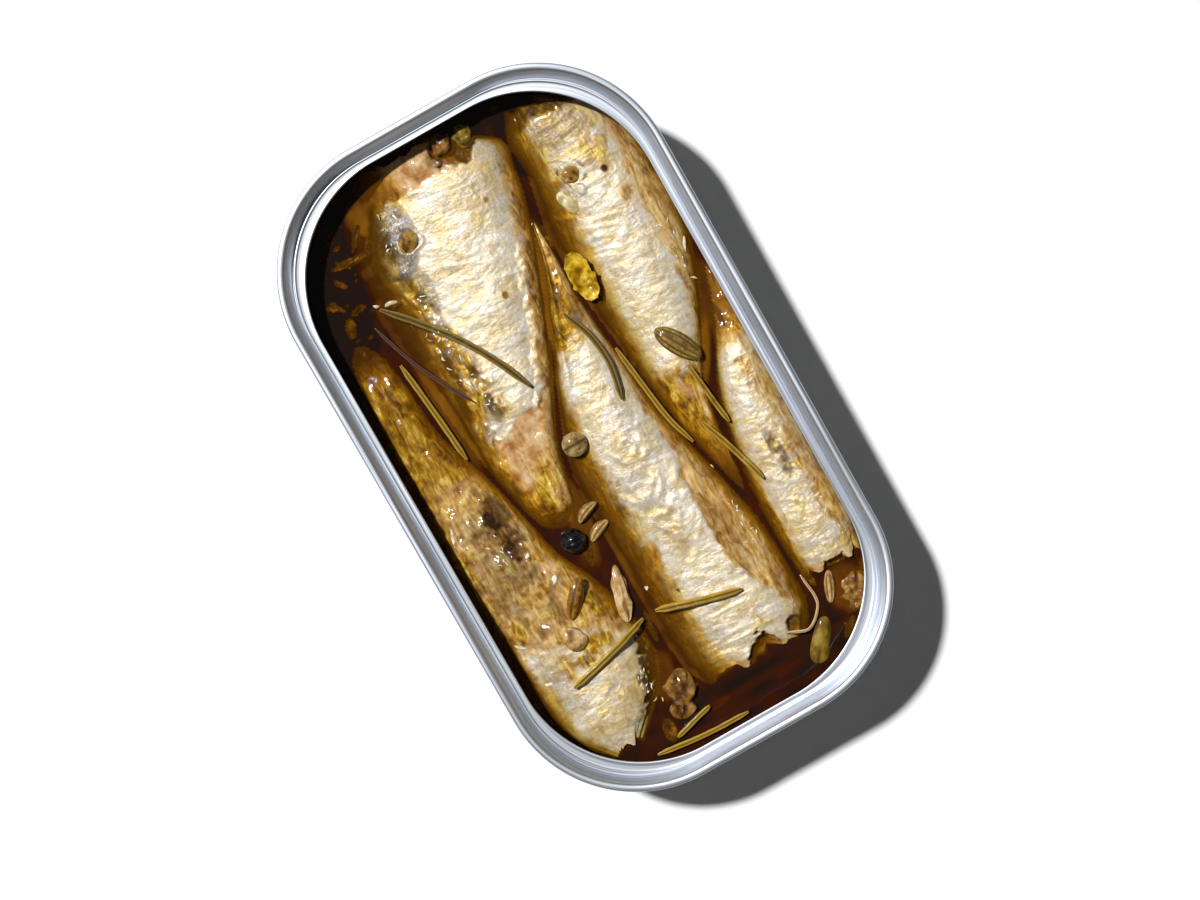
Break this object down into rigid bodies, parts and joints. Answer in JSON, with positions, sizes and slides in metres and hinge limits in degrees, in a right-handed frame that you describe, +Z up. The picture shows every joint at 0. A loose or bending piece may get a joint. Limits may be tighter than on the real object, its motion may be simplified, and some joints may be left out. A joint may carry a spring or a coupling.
{
  "type": "sardine tin",
  "caption": "Opened oblong fish tin with rounded corners and a seamed rim, filled with headless sardines in spiced oil with seeds and herb needles.",
  "frame": {"origin": "under the middle of the tin, on the surface it stands on", "axes": "+X along the tin towards the end where the middle fish was cut, +Y across it, +Z up out of the open top"},
  "size_m": [0.105, 0.061, 0.024],
  "materials": {
    "can_aluminium": "drawn aluminium, satin",
    "rim_aluminium": "rolled aluminium, brushed round the ledge",
    "oil": "clear amber oil, wet gloss",
    "fish": "silver skin mottled with gold, wet",
    "flesh": "cooked brown flesh, oily",
    "seed": "brown seed husk, oily",
    "peppercorn": "black wrinkled husk, oily",
    "peel": "yellow-olive rind, wet",
    "herb": "olive-brown herb needle, oily",
    "bone": "thin pale bone"
  },
  "bodies": {
    "root": {"can_body": "can_aluminium", "lid_ring": "rim_aluminium", "oil": "oil", "fish_upper_left": "fish", "fish_upper_right": "fish", "fish_middle": "fish", "fish_lower_left": "fish", "fish_lower_right": "fish", "flesh_fragment": "flesh", "flesh_strip": "flesh", "backbone_bits": "flesh", "rib_bits": "flesh", "coriander_split": "seed", "caraway_seed_1": "seed", "caraway_seed_2": "seed", "brown_seed_right": "seed", "peppercorn": "peppercorn", "peel_strip": "peel", "peel_bit": "peel", "yellow_peel": "peel", "needle_1": "herb", "needle_2": "herb", "needle_3": "herb", "needle_4": "herb", "needle_5": "herb", "needle_6": "herb", "needle_7": "herb", "needle_8": "herb", "needle_9": "herb", "needle_10": "herb", "stem": "herb", "rib_bone": "bone"}
  },
  "joints": []
}
